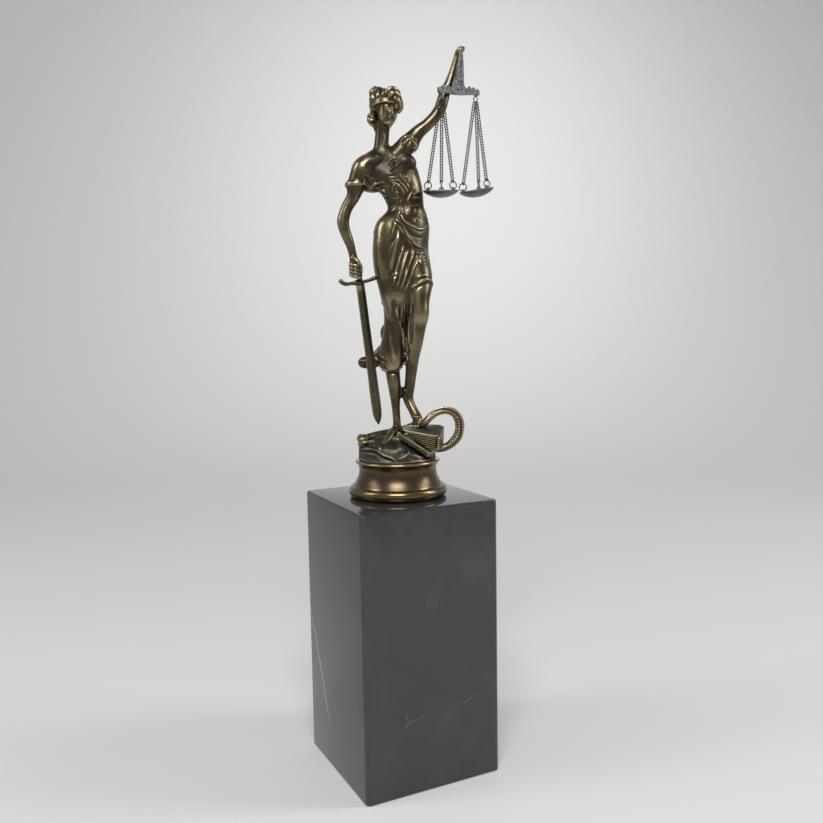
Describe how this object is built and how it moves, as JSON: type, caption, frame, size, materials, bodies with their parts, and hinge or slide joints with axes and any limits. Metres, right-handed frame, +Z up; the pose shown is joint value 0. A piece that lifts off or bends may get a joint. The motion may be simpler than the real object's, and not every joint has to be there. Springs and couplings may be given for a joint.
{
  "type": "justice statue",
  "caption": "Blindfolded justice in dark cast bronze with scales hung from a raised hand, a lowered sword, and a book and snake at the feet, on a square black marble plinth.",
  "frame": {"origin": "centre of the plinth's underside", "axes": "+Z up, the plinth's broad faces square to X and Y, the figure facing -Y and turned a little towards -X"},
  "size_m": [0.1191, 0.1, 0.4918],
  "materials": {
    "dark_bronze": "dark brown patina, worn golden on the high places",
    "turned_bronze": "polished golden brown patina",
    "scale_metal": "dulled dark grey",
    "black_marble": "polished"
  },
  "bodies": {
    "root": {"marble_plinth": "black_marble", "bronze_socle": "turned_bronze", "justice_figure": "dark_bronze", "sword": "dark_bronze", "scale_beam": "scale_metal", "beam_ring_left": "scale_metal", "beam_ring_right": "scale_metal", "scale_pan_left": "scale_metal", "scale_pan_right": "scale_metal", "pan_ring_left_1": "scale_metal", "pan_ring_left_2": "scale_metal", "pan_ring_left_3": "scale_metal", "pan_ring_right_1": "scale_metal", "pan_ring_right_2": "scale_metal", "pan_ring_right_3": "scale_metal", "chain_left_1": "scale_metal", "chain_left_2": "scale_metal", "chain_left_3": "scale_metal", "chain_right_1": "scale_metal", "chain_right_2": "scale_metal", "chain_right_3": "scale_metal"}
  },
  "joints": []
}
